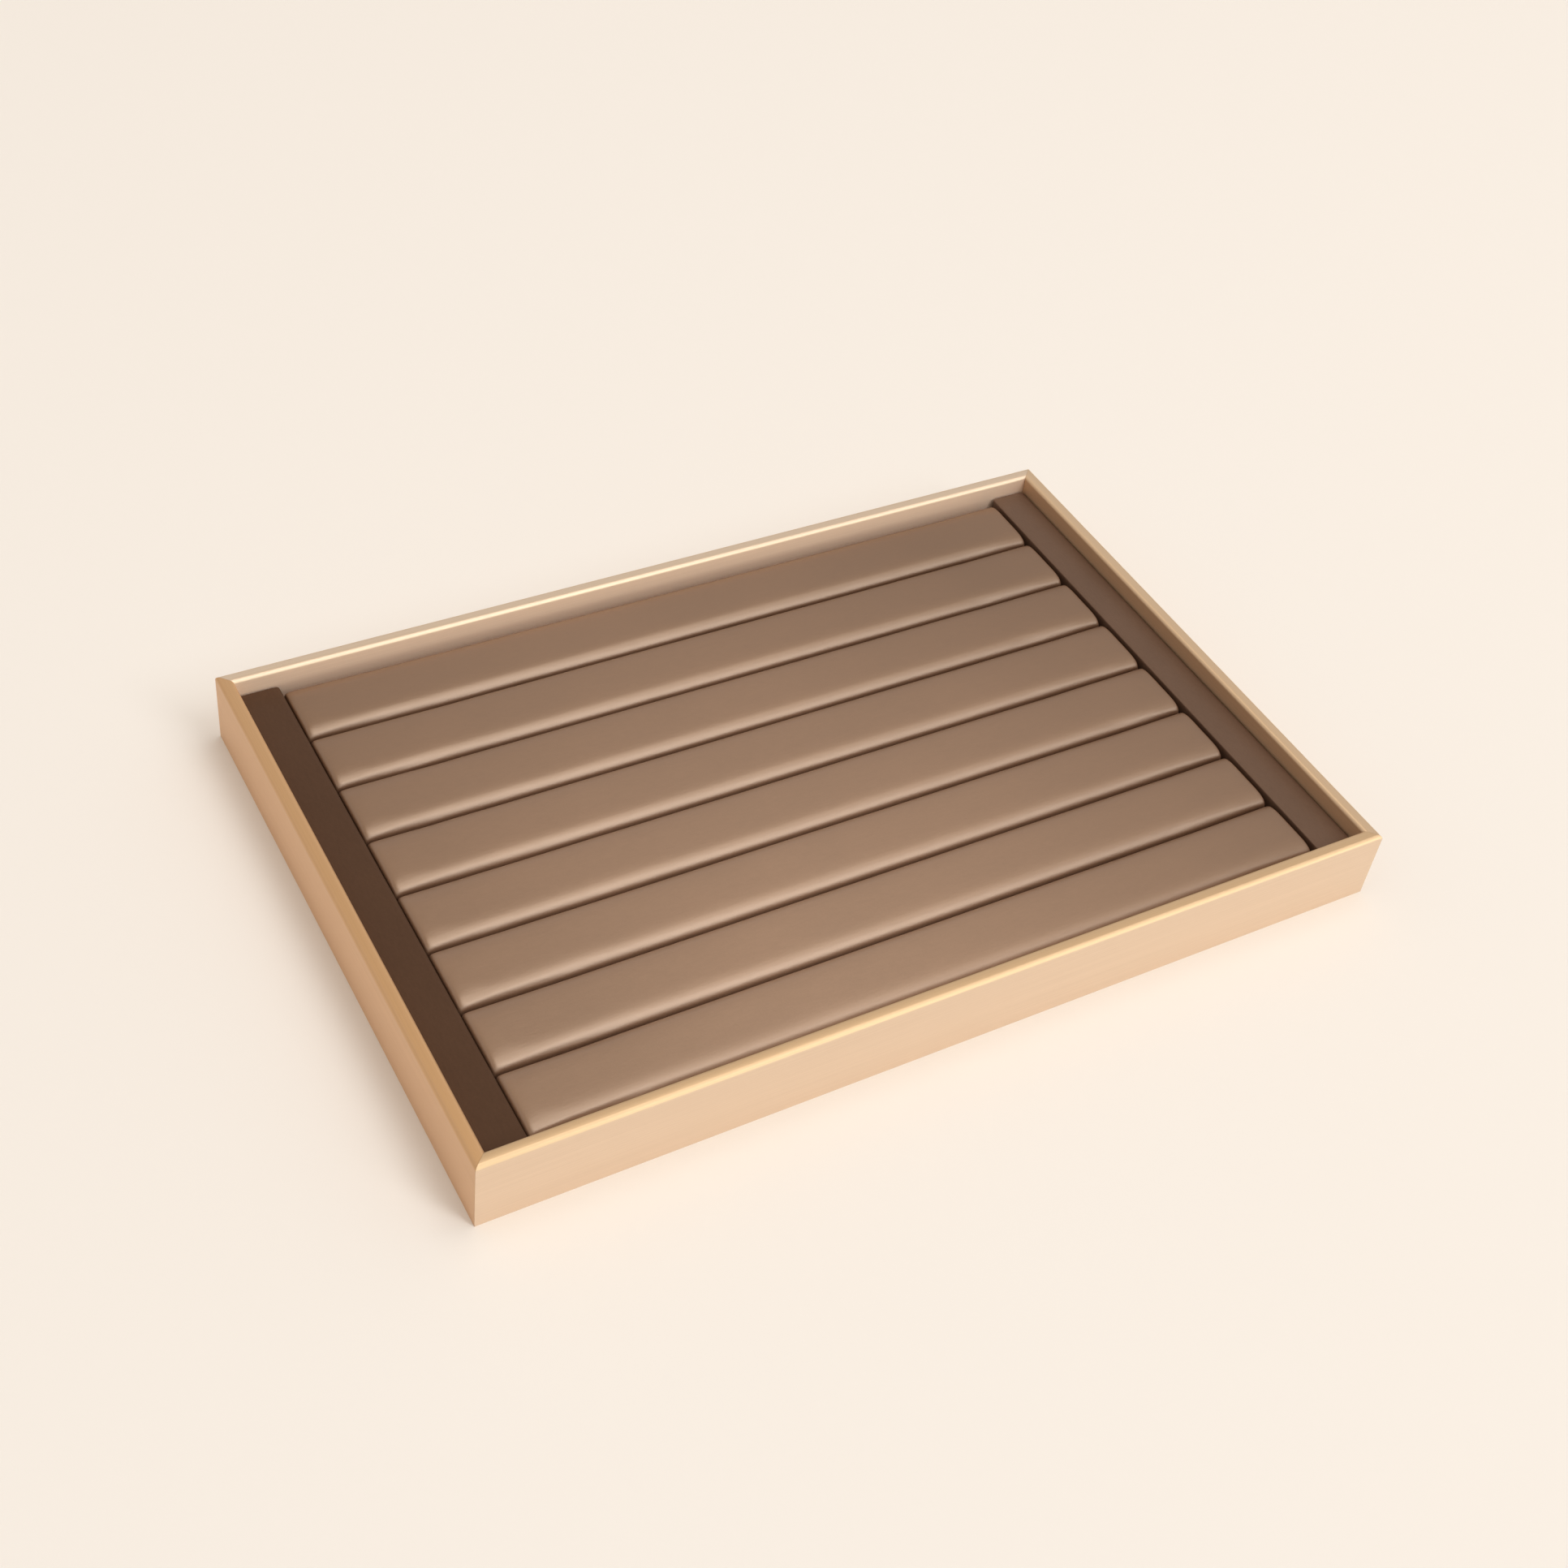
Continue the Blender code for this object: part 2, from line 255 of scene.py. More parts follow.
open_air = sweep.add("ShaderNodeBsdfTransparent").outputs[0]
faded = sweep.add("ShaderNodeMixShader", {0: fade, 1: sheet.outputs[0], 2: open_air}).outputs[0]
sweep.feed(floor_finish.node_tree.nodes["Material Output"].inputs["Surface"], faded)
floor_mesh.materials.append(floor_finish)
print("floor fades out between", FLOOR_FADE_START, "and", FLOOR_FADE_END, "m")

# %% [markdown]
# ## World
# The world plays three parts. The camera sees a cream backdrop, matt surfaces get an even warm fill,
# and shiny surfaces mirror a few bands of tone, the palest about 40 degrees up, so that metal and cloth
# don't gleam evenly all over.

# %% World
AMBIENT_TONE = solid(1.0, 0.91, 0.82)
AMBIENT_LEVEL = 0.62
BACKDROP_TONE = solid(0.95, 0.88, 0.80)
SKY_BANDS = [(0.30, solid(0.50, 0.45, 0.39)), (0.62, solid(0.78, 0.76, 0.76)),
             (0.75, solid(0.50, 0.38, 0.24)), (1.0, solid(0.66, 0.57, 0.45))]

world = bpy.data.worlds.new("studio")
world.use_nodes = True
world.node_tree.nodes.clear()
sky = Wiring(world.node_tree)
way = sky.add("ShaderNodeSeparateXYZ", {0: sky.add("ShaderNodeTexCoord").outputs["Generated"]})
band = sky.add("ShaderNodeValToRGB", {0: way.outputs["Z"]})
ramp = band.color_ramp
while len(ramp.elements) < len(SKY_BANDS):
    ramp.elements.new(0.5)
for element, (height, tone) in zip(ramp.elements, SKY_BANDS):
    element.position = height
    element.color = tone
rays = sky.add("ShaderNodeLightPath").outputs
mirrored = sky.math("MAXIMUM", rays["Is Glossy Ray"], rays["Is Transmission Ray"])
ambient = sky.add("ShaderNodeBackground", {"Color": AMBIENT_TONE, "Strength": AMBIENT_LEVEL}).outputs[0]
seen = sky.add("ShaderNodeBackground", {"Color": BACKDROP_TONE, "Strength": 1.0}).outputs[0]
reflected = sky.add("ShaderNodeBackground", {"Color": band.outputs[0], "Strength": 1.0}).outputs[0]
lit = sky.add("ShaderNodeMixShader", {0: mirrored, 1: ambient, 2: reflected}).outputs[0]
whole = sky.add("ShaderNodeMixShader", {0: rays["Is Camera Ray"], 1: lit, 2: seen}).outputs[0]
sky.add("ShaderNodeOutputWorld", {"Surface": whole})
bpy.context.scene.world = world
print("world with", len(ramp.elements), "bands")

# %% [markdown]
# ## Effects shared by several finishes
# Three effects turn up again and again on this tray, so each is a node group with named inputs. The nap
# is the short brushed pile of microfibre and felt: fine flecks, a faint lie of the fibres and a slow
# drift of tone. The brushing is the hairline grain that a satin wheel leaves along a metal rail. The
# fibre is the pressed, speckled look of board.

# %% Nap
NUMBER = "NodeSocketFloat"
COLOUR = "NodeSocketColor"
ARROW = "NodeSocketVector"
PILE_WEIGHT = 0.6
DRIFT_WEIGHT = 0.4
NAP_CONTRAST = (0.34, 0.66)
PILE_SPAN = (0.3, 0.7)
NAP_ROUGHNESS = (0.38, 0.42)


def effect_group(name, inputs, outputs):
    """An empty shader group with its sockets, and the wiring of its two ends."""
    group = bpy.data.node_groups.new(name, "ShaderNodeTree")
    for socket, kind in inputs.items():
        group.interface.new_socket(socket, in_out="INPUT", socket_type=kind)
    for socket, kind in outputs.items():
        group.interface.new_socket(socket, in_out="OUTPUT", socket_type=kind)
    wiring = Wiring(group)
    return group, wiring, wiring.add("NodeGroupInput").outputs, wiring.add("NodeGroupOutput").inputs


def nap_group():
    inputs = {"Vector": ARROW, "Tone": COLOUR, "Tip": COLOUR,
              "Fibre": NUMBER, "Lie": ARROW, "Drift": NUMBER}
    outputs = {"Colour": COLOUR, "Height": NUMBER, "Roughness": NUMBER}
    group, wiring, given, result = effect_group("cloth_nap", inputs, outputs)
    fleck = wiring.noise(given["Vector"], given["Fibre"], detail=3.0)
    lie = wiring.noise(wiring.stretch(given["Vector"], given["Lie"]), given["Fibre"])
    pile = wiring.weigh(fleck, 0.5, lie, 0.5)
    drift = wiring.noise(given["Vector"], given["Drift"])
    share = wiring.between(wiring.weigh(pile, PILE_WEIGHT, drift, DRIFT_WEIGHT), *NAP_CONTRAST)
    wiring.feed(result["Colour"], wiring.blend(share, given["Tone"], given["Tip"]))
    wiring.feed(result["Height"], pile)
    wiring.feed(result["Roughness"], wiring.between(pile, *PILE_SPAN, *NAP_ROUGHNESS))
    return group


NAP = nap_group()
print(NAP.name, "with", len(NAP.nodes), "nodes")

# %% Brushing
CLOUD_SCALE = 0.05
HAIRLINE_WEIGHT = 0.65
CLOUD_WEIGHT = 0.35
BRUSH_CONTRAST = (0.35, 0.65)


def brushing_group():
    inputs = {"Vector": ARROW, "Fineness": NUMBER}
    outputs = {"Height": NUMBER, "Shade": NUMBER}
    group, wiring, given, result = effect_group("satin_brushing", inputs, outputs)
    hairline = wiring.noise(given["Vector"], given["Fineness"], detail=4.0)
    cloud = wiring.noise(given["Vector"], wiring.math("MULTIPLY", given["Fineness"], CLOUD_SCALE))
    mixed = wiring.weigh(hairline, HAIRLINE_WEIGHT, cloud, CLOUD_WEIGHT)
    wiring.feed(result["Height"], hairline)
    wiring.feed(result["Shade"], wiring.between(mixed, *BRUSH_CONTRAST))
    return group


BRUSHING = brushing_group()
print(BRUSHING.name, "with", len(BRUSHING.nodes), "nodes")

# %% Fibre
SLIVER_STRETCH = (0.25, 1.0, 1.0)
FIBRE_CONTRAST = (0.18, 0.36)


def fibre_group():
    inputs = {"Vector": ARROW, "Tone": COLOUR, "Fleck": COLOUR, "Fibre": NUMBER}
    outputs = {"Colour": COLOUR, "Height": NUMBER}
    group, wiring, given, result = effect_group("pressed_fibre", inputs, outputs)
    mat = wiring.noise(given["Vector"], given["Fibre"], detail=5.0)
    slivers = wiring.noise(wiring.stretch(given["Vector"], SLIVER_STRETCH), given["Fibre"], detail=3.0)
    share = wiring.between(wiring.math("MULTIPLY", mat, slivers), *FIBRE_CONTRAST)
    wiring.feed(result["Colour"], wiring.blend(share, given["Tone"], given["Fleck"]))
    wiring.feed(result["Height"], mat)
    return group


FIBRE = fibre_group()
print(FIBRE.name, "with", len(FIBRE.nodes), "nodes")

# %% [markdown]
# ## The satin metal
# The rails are anodised in a champagne tone and brushed lengthwise. A picture of brushed metal could be
# laid over them, but noise drawn out along the rail gives the hairlines at any distance. Handling
# polishes the rim, so the top millimetre is a deeper gold than the wall, and the flat top is shinier
# still. The height of a point decides the mix: Object coordinates are metres here, so the rim starts at
# a real height. The grain runs along X on the long rails and along Y on the short ones. Each rail has
# tones of its own, set against the photograph: lighter and darker copies of one finish, which paint
# light and shade onto each side as the light falls on it or misses it.

# %% Champagne metal
RIM_LEVEL = cad_high.z
RIM_START = 0.0012
RIM_FULL = 0.0005
RIM_METAL = 0.75
RIM_GLOSS = 0.05
POLISH_START = 0.00005
POLISH_FULL = 0.00001
POLISH_GLOSS = 0.22
SATIN_ROUGHNESS = (0.62, 0.56)
BRUSH_FINENESS = 2400.0
BRUSH_LENGTH = 0.005
BRUSH_SHADE = solid(0.945, 0.937, 0.929)
BRUSH_RELIEF = 0.25
BRUSH_STEP = 0.00002
PLAIN = solid(1.0, 1.0, 1.0)
LONG_GRAIN = (BRUSH_LENGTH, 1.0, 1.0)
SHORT_GRAIN = (1.0, BRUSH_LENGTH, 1.0)
LONG_WALL_METAL = 0.30
SHORT_WALL_METAL = 0.60
# Lighter and darker copies of one finish, one for each side: painted light and shade for how the light
# falls there.
RAIL_LIT_AND_SHADED_TONES = {
    "front": {"wall": solid(0.83, 0.64, 0.475), "rim": solid(0.73, 0.53, 0.33)},
    "right": {"wall": solid(0.68, 0.46, 0.29), "rim": solid(0.77, 0.575, 0.385)},
    "back": {"wall": solid(0.98, 0.765, 0.595), "rim": solid(0.83, 0.675, 0.52)},
    "left": {"wall": solid(0.765, 0.515, 0.325), "rim": solid(0.72, 0.46, 0.25)},
}


def new_finish(name):
    """A material with its wiring, its shader and the Object coordinates."""
    material = bpy.data.materials.new(name)
    material.use_nodes = True
    wiring = Wiring(material.node_tree)
    shader = material.node_tree.nodes["Principled BSDF"]
    return material, wiring, shader, wiring.add("ShaderNodeTexCoord").outputs["Object"]


def place_group(wiring, group, inputs):
    made = wiring.add("ShaderNodeGroup", node_tree=group)
    for name, value in inputs.items():
        wiring.feed(made.inputs[name], value)
    return made.outputs


def set_bump(wiring, shader, height, strength, step):
    inputs = {"Height": height, "Strength": strength, "Distance": step}
    wiring.feed(shader.inputs["Normal"], wiring.add("ShaderNodeBump", inputs).outputs["Normal"])


def champagne_metal(name, tones, grain, wall_metal):
    """Satin metal with a tone for the wall and one for the rim; grain draws the brushing out."""
    material, wiring, shader, coords = new_finish(name)
    drawn_out = wiring.stretch(coords, grain)
    brushing = place_group(wiring, BRUSHING, {"Vector": drawn_out, "Fineness": BRUSH_FINENESS})
    level = wiring.add("ShaderNodeSeparateXYZ", {0: coords}).outputs["Z"]
    rim = wiring.between(level, RIM_LEVEL - RIM_START, RIM_LEVEL - RIM_FULL)
    polish = wiring.between(level, RIM_LEVEL - POLISH_START, RIM_LEVEL - POLISH_FULL)
    tone = wiring.blend(rim, tones["wall"], tones["rim"])
    shaded = wiring.blend(brushing["Shade"], BRUSH_SHADE, PLAIN)
    wiring.feed(shader.inputs["Base Color"], wiring.blend(1.0, tone, shaded, "MULTIPLY"))
    dull = wiring.between(brushing["Shade"], 0.0, 1.0, *SATIN_ROUGHNESS)
    gloss = wiring.weigh(rim, RIM_GLOSS, polish, POLISH_GLOSS)
    wiring.feed(shader.inputs["Roughness"], wiring.math("SUBTRACT", dull, gloss))
    wiring.feed(shader.inputs["Metallic"], wiring.between(rim, 0.0, 1.0, wall_metal, RIM_METAL))
    set_bump(wiring, shader, brushing["Height"], BRUSH_RELIEF, BRUSH_STEP)
    return material


RAIL_METAL = {}
for side, tones in RAIL_LIT_AND_SHADED_TONES.items():
    if side in ("front", "back"):
        grain, wall_metal = LONG_GRAIN, LONG_WALL_METAL
    else:
        grain, wall_metal = SHORT_GRAIN, SHORT_WALL_METAL
    RAIL_METAL[side] = champagne_metal(f"champagne_metal_{side}", tones, grain, wall_metal)
print("metal finishes:", list(RAIL_METAL))

# %% [markdown]
# ## The rails
# Each rail is a hollow section, cut at 45 degrees at both ends and held to its neighbours by corner
# keys. It could be a curve with a bevel profile, but mesh code gives exact mitres and an exact hollow:
# the same ring of points is set at both ends, each point drawn in by its distance from the outer face,
# which makes the mitre. Both top edges are softly rounded, the inner one a little less. The hollow is
# kept, so the keys sit in it as they do in the real frame.

# %% Sizes of a rail
CLEARANCE = 0.0003

left_low, left_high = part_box("left_rail")
panel_low, panel_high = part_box("base_panel")
key_low, key_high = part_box("corner_key_front_left")
RAIL_WIDTH = left_high.x - left_low.x
RAIL_WALL = key_low.x - left_low.x - CLEARANCE
GROOVE_LOW = panel_low.z - CLEARANCE
GROOVE_TOP = panel_high.z + CLEARANCE
GROOVE_BACK = cad_high.x - panel_high.x - CLEARANCE
CHAMBER_LOW = key_low.z - CLEARANCE
CHAMBER_TOP = key_high.z + CLEARANCE
print("rail", round(RAIL_WIDTH, 4), "m wide, its walls", round(RAIL_WALL, 4), "m")

# %% Section of a rail
OUTER_EDGE_RADIUS = 0.0014
INNER_EDGE_RADIUS = 0.0012
EDGE_STEPS = 8


def arc(centre, radius, start, end, steps):
    """Points on an arc, with angles in degrees."""
    points = []
    for step in range(steps + 1):
        angle = math.radians(start + (end - start) * step / steps)
        points.append((centre[0] + radius * math.cos(angle), centre[1] + radius * math.sin(angle)))
    return points


def rail_section():
    """The rail's outline as (inward, up) points, from the outer foot over the top to the inner foot."""
    outer = (OUTER_EDGE_RADIUS, RIM_LEVEL - OUTER_EDGE_RADIUS)
    inner = (RAIL_WIDTH - INNER_EDGE_RADIUS, RIM_LEVEL - INNER_EDGE_RADIUS)
    outline = [(0.0, 0.0)] + arc(outer, OUTER_EDGE_RADIUS, 180, 90, EDGE_STEPS)
    outline += arc(inner, INNER_EDGE_RADIUS, 90, 0, EDGE_STEPS)
    outline += [(RAIL_WIDTH, GROOVE_TOP), (GROOVE_BACK, GROOVE_TOP), (GROOVE_BACK, GROOVE_LOW)]
    return outline + [(RAIL_WIDTH, GROOVE_LOW), (RAIL_WIDTH, 0.0)]


def chamber_section():
    """The outline of the hollow."""
    near = RAIL_WALL
    far = RAIL_WIDTH - RAIL_WALL
    return [(near, CHAMBER_LOW), (near, CHAMBER_TOP), (far, CHAMBER_TOP), (far, CHAMBER_LOW)]


print("section with", len(rail_section()), "points, its hollow with", len(chamber_section()))

# %% Sweep and place the rails
MITRE_SEAM = 0.00006
SMOOTH_ANGLE = math.radians(30)


def finished_mesh(name, builder):
    """The builder's faces as a mesh, smooth apart from its sharp edges."""
    mesh = bpy.data.meshes.new(name)
    builder.to_mesh(mesh)
    builder.free()
    mesh.shade_smooth()
    mesh.set_sharp_from_angle(angle=SMOOTH_ANGLE)
    return mesh


def rail_mesh(name, quarter, half_length, half_span):
    """A mitred hollow rail, turned by quarter turns about the tray's middle."""
    builder = bmesh.new()
    turn = Matrix.Rotation(quarter * math.pi / 2, 3, "Z")
    caps = {-1: [], 1: []}
    for section in (rail_section(), chamber_section()):
        rings = []
        for side in (-1, 1):
            ring = []
            for inward, level in section:
                reach = half_length - inward - MITRE_SEAM / 2
                ring.append(builder.verts.new(turn @ Vector((side * reach, inward - half_span, level))))
            rings.append(ring)
            for first, second in zip(ring, ring[1:] + ring[:1]):
                caps[side].append(builder.edges.new((first, second)))
        for index in range(len(section)):
            after = (index + 1) % len(section)
            builder.faces.new((rings[0][index], rings[0][after], rings[1][after], rings[1][index]))
    for edges in caps.values():
        bmesh.ops.triangle_fill(builder, use_beauty=True, use_dissolve=False, edges=edges)
    bmesh.ops.recalc_face_normals(builder, faces=builder.faces)
    return finished_mesh(name, builder)


def add_piece(name, mesh, material, body, slot, *stands_for):
    """A finished piece at the origin, riding on its body in place of its solids."""
    piece = bpy.data.objects.new(name, mesh)
    bpy.context.scene.collection.objects.link(piece)
    mesh.materials.clear()
    mesh.materials.append(material)
    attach(piece, body)
    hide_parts(*stands_for)
    return piece


half_length, half_width = cad_high.x, cad_high.y
for quarter, side in enumerate(["front", "right", "back", "left"]):
    reach, span = (half_length, half_width) if quarter % 2 == 0 else (half_width, half_length)
    name = f"{side}_rail_satin"
    mesh = rail_mesh(name, quarter, reach, span)
    rail = add_piece(name, mesh, RAIL_METAL[side], "frame", "champagne_metal", f"{side}_rail")
    print(rail.name, len(rail.data.polygons), "faces")

# %% [markdown]
# ## The microfibre
# Bars and end strips are wrapped in a taupe microfibre. Its pile is too short to model as hairs: what
# shows is a soft sheen, faint flecks and slow changes of tone where the pile lies differently. The
# bars' colour is painted darker away from the spot where the light gathers: a painted pool of light
# with painted shade around it. The end strips get darker tones than the bars, and the left one darker
# than the right: painted shade for pile that lies across the light.

# %% Microfibre finishes
FIBRE_SCALE = 1500.0
DRIFT_SCALE = 28.0
FLECK_SHARE = 0.1
NAP_RELIEF = 0.35
NAP_STEP = 0.00012
LUSTRE_TONE = solid(1.0, 0.80, 0.63)
# Painted light on the bars: the colour is lightest at this spot and fades to painted shade by this reach.
LIGHT_STRETCH = (1.25, 1.0, 1.0)
LIGHT_SPOT = (-0.0375, -0.085, 0.0)
LIGHT_START = 0.02
LIGHT_REACH = 0.225
ALONG_X = (0.2, 1.0, 1.0)
ALONG_Y = (1.0, 0.2, 1.0)
BAR_TONE = solid(0.265, 0.154, 0.098)
# The painted shade that the bars' colour reaches far from the spot of painted light.
BAR_PAINTED_SHADE = solid(0.43, 0.33, 0.24)
# The strips' tones are painted shade: darker than the bars, and the left one darker than the right, for
# pile across the light.
LEFT_SHADED_TONE = solid(0.078, 0.039, 0.022)
RIGHT_SHADED_TONE = solid(0.128, 0.073, 0.048)


def scaled(tone, share):
    """A tone made lighter or darker."""
    return solid(*[part * share for part in tone[:3]])


def microfibre(name, tone, lie, refraction, painted_shade=PLAIN):
    """Napped cloth around one tone; refraction sets its sheen, and the last argument is painted shade
    multiplied into the colour far from the light.
    """
    material, wiring, shader, coords = new_finish(name)
    nap = place_group(wiring, NAP, {
        "Vector": coords, "Tone": scaled(tone, 1.0 - FLECK_SHARE), "Tip": scaled(tone, 1.0 + FLECK_SHARE),
        "Fibre": FIBRE_SCALE, "Lie": lie, "Drift": DRIFT_SCALE})
    # Painted pool of light: the colour is multiplied towards the painted shade with the distance from the
    # spot.
    place = wiring.stretch(coords, LIGHT_STRETCH)
    spot = wiring.add("ShaderNodeVectorMath", {0: place, 1: LIGHT_SPOT}, operation="DISTANCE")
    painted_falloff = wiring.between(spot.outputs["Value"], LIGHT_START, LIGHT_REACH)
    tint = wiring.blend(painted_falloff, PLAIN, painted_shade)
    wiring.feed(shader.inputs["Base Color"], wiring.blend(1.0, nap["Colour"], tint, "MULTIPLY"))
    wiring.feed(shader.inputs["Roughness"], nap["Roughness"])
    shader.inputs["IOR"].default_value = refraction
    shader.inputs["Specular Tint"].default_value = LUSTRE_TONE
    set_bump(wiring, shader, nap["Height"], NAP_RELIEF, NAP_STEP)
    return material


BAR_CLOTH = microfibre("bar_microfibre", BAR_TONE, lie=ALONG_X, refraction=2.6, painted_shade=BAR_PAINTED_SHADE)
LEFT_CLOTH = microfibre("left_strip_microfibre", LEFT_SHADED_TONE, lie=ALONG_Y, refraction=1.3)
RIGHT_CLOTH = microfibre("right_strip_microfibre", RIGHT_SHADED_TONE, lie=ALONG_Y, refraction=1.5)
print("cloths:", [cloth.name for cloth in (BAR_CLOTH, LEFT_CLOTH, RIGHT_CLOTH)])

# %% [markdown]
# ## The padded forms
# A wrapped bar follows one rule: a flat middle that rolls over into round shoulders and ends, and sides
# that are drawn in a little at the bottom, where the cloth is turned under and glued. Each bar could be
# sculpted, but a geometry tree follows that rule from a handful of sizes, so the same tree makes all
# bars and both end strips. It bends a grid into the crown, then extrudes its open edge into the side
# and the hem.

# %% Values that the pad tree takes
WHOLE = "NodeSocketInt"
PAD_SIZES = ["Length", "Width", "Foot", "Crown", "Shoulder", "Power", "Left Round", "Right Round",
             "Corner", "Draw In", "Hem", "Waver", "Seed", "Turn"]

PAD_TREE = bpy.data.node_groups.new("wrapped_pad", "GeometryNodeTree")
pad_values = {name: NUMBER for name in PAD_SIZES}
pad_values.update({"Centre": ARROW, "Along": WHOLE, "Across": WHOLE, "Cloth": "NodeSocketMaterial"})
PAD_SOCKETS = {}
for name, kind in pad_values.items():
    socket = PAD_TREE.interface.new_socket(name, in_out="INPUT", socket_type=kind)
    PAD_SOCKETS[name] = socket.identifier
PAD_TREE.interface.new_socket("Skin", in_out="OUTPUT", socket_type="NodeSocketGeometry")
print("pad tree takes", len(PAD_SOCKETS), "values")

# %% Plan of a pad
pad = Wiring(PAD_TREE)
calc = pad.math
given = pad.add("NodeGroupInput").outputs


def split(vector):
    return pad.add("ShaderNodeSeparateXYZ", {0: vector}).outputs


def join(x, y, z):
    return pad.add("ShaderNodeCombineXYZ", {0: x, 1: y, 2: z}).outputs[0]


grid = pad.add("GeometryNodeMeshGrid", {
    "Size X": 2.0, "Size Y": 2.0, "Vertices X": given["Along"], "Vertices Y": given["Across"]}).outputs[0]
plan = split(pad.add("GeometryNodeInputPosition").outputs[0])
half_long = calc("MULTIPLY", given["Length"], 0.5)
half_wide = calc("MULTIPLY", given["Width"], 0.5)

# The sine sets the rows closer together towards the edges, where the cover bends
across = calc("SINE", calc("MULTIPLY", plan[1], math.pi / 2))
x = calc("MULTIPLY", half_long, calc("SINE", calc("MULTIPLY", plan[0], math.pi / 2)))
from_left = calc("ADD", half_long, x)
from_right = calc("SUBTRACT", half_long, x)

# Near an end the width shrinks along an arc, which rounds the corners
corner = given["Corner"]
into = calc("MAXIMUM", calc("SUBTRACT", corner, calc("MINIMUM", from_left, from_right)), 0.0)
chord = calc("SUBTRACT", calc("MULTIPLY", corner, corner), calc("MULTIPLY", into, into))
inset = calc("SUBTRACT", corner, calc("SQRT", calc("MAXIMUM", chord, 0.0)))
y = calc("MULTIPLY", across, calc("SUBTRACT", half_wide, inset))
print("plan of a pad:", len(PAD_TREE.nodes), "nodes")

# %% Crown of a pad
WAVER_SCALE = 22.0
WAVER_ACROSS = 2.0


def roll_over(share):
    """One where the crown is flat, falling to zero at its edge; a higher power makes a squarer roll."""
    inverse = calc("DIVIDE", 1.0, given["Power"])
    left = calc("SUBTRACT", 1.0, calc("POWER", share, given["Power"]))
    return calc("POWER", calc("MAXIMUM", left, 0.0), inverse)


# The end roll and the shoulder roll multiply
left_share = calc("SUBTRACT", 1.0, calc("DIVIDE", from_left, given["Left Round"]))
right_share = calc("SUBTRACT", 1.0, calc("DIVIDE", from_right, given["Right Round"]))
end_share = calc("MAXIMUM", calc("MAXIMUM", left_share, right_share), 0.0)
crown = calc("MULTIPLY", roll_over(end_share), roll_over(calc("ABSOLUTE", across)))
drop = calc("MULTIPLY", given["Shoulder"], calc("SUBTRACT", 1.0, crown))

# A cover wrapped by hand is uneven, most of all in the middle of the crown
spot = join(x, calc("MULTIPLY", y, WAVER_ACROSS), given["Seed"])
uneven = calc("SUBTRACT", pad.noise(spot, WAVER_SCALE, detail=1.0), 0.5)
waver = calc("MULTIPLY", uneven, given["Waver"])
z = calc("ADD", calc("SUBTRACT", given["Crown"], drop), calc("MULTIPLY", waver, crown))
skin = pad.add("GeometryNodeSetPosition", {"Geometry": grid, "Position": join(x, y, z)}).outputs[0]
print("plan and crown:", len(PAD_TREE.nodes), "nodes")

# %% Sides and hem of a pad


def extrude_rim(mesh, level, draw_in):
    """Extrude the open edge, then move the new ring to a level and draw it in."""
    # An open edge has one face; Compare takes whole numbers in inputs 2 and 3
    neighbours = pad.add("GeometryNodeInputMeshEdgeNeighbors").outputs[0]
    open_edge = pad.add("FunctionNodeCompare", {2: neighbours, 3: 1}, data_type="INT",
                        operation="EQUAL").outputs[0]
    grown = pad.add("GeometryNodeExtrudeMesh", {
        "Mesh": mesh, "Selection": open_edge, "Offset Scale": 0.0}, mode="EDGES").outputs
    here = split(pad.add("GeometryNodeInputPosition").outputs[0])
    scale_x = calc("SUBTRACT", 1.0, calc("DIVIDE", draw_in, half_long))
    scale_y = calc("SUBTRACT", 1.0, calc("DIVIDE", draw_in, half_wide))
    moved = join(calc("MULTIPLY", here[0], scale_x), calc("MULTIPLY", here[1], scale_y), level(here[2]))
    return pad.add("GeometryNodeSetPosition", {
        "Geometry": grown["Mesh"], "Selection": grown["Top"], "Position": moved}).outputs[0]


def halfway_down(height):
    return calc("MULTIPLY", calc("ADD", height, given["Foot"]), 0.5)


def at_foot(height):
    return given["Foot"]


half_draw = calc("MULTIPLY", given["Draw In"], 0.5)
skin = extrude_rim(skin, halfway_down, half_draw)
skin = extrude_rim(skin, at_foot, half_draw)
skin = extrude_rim(skin, at_foot, given["Hem"])
skin = pad.add("GeometryNodeSetShadeSmooth", {"Geometry": skin}).outputs[0]
turned = join(0.0, 0.0, given["Turn"])
skin = pad.add("GeometryNodeTransform", {
    "Geometry": skin, "Translation": given["Centre"], "Rotation": turned}).outputs[0]
skin = pad.add("GeometryNodeRealizeInstances", {"Geometry": skin}).outputs[0]
skin = pad.add("GeometryNodeSetMaterial", {"Geometry": skin, "Material": given["Cloth"]}).outputs[0]
pad.add("NodeGroupOutput", {0: skin})
print("whole pad tree:", len(PAD_TREE.nodes), "nodes")

# %% [markdown]
# ## Wrapping the bars
# The foam pushes the cloth out from inside, and the glued hem holds it below. The swelling could be a
# term in the tree, but a short cloth simulation does what the foam does: the hem and foot are pinned, a
# little pressure fills the cover, and gravity is off because the foam carries the cloth. The swelling
# is capped, so every bar keeps its slot. Solidify then gives the cloth its thickness. The right ends of
# the bars roll over more tightly than the left ones.

# %% Fill a cover
SWELL_CAP_UP = 0.00025
SWELL_CAP_ASIDE = 0.0001
SWELL_FRAMES = 16
SWELL_PRESSURE = 4.0
PIN_HEIGHT = 0.0040


def limit(value, most):
    return max(-most, min(most, value))


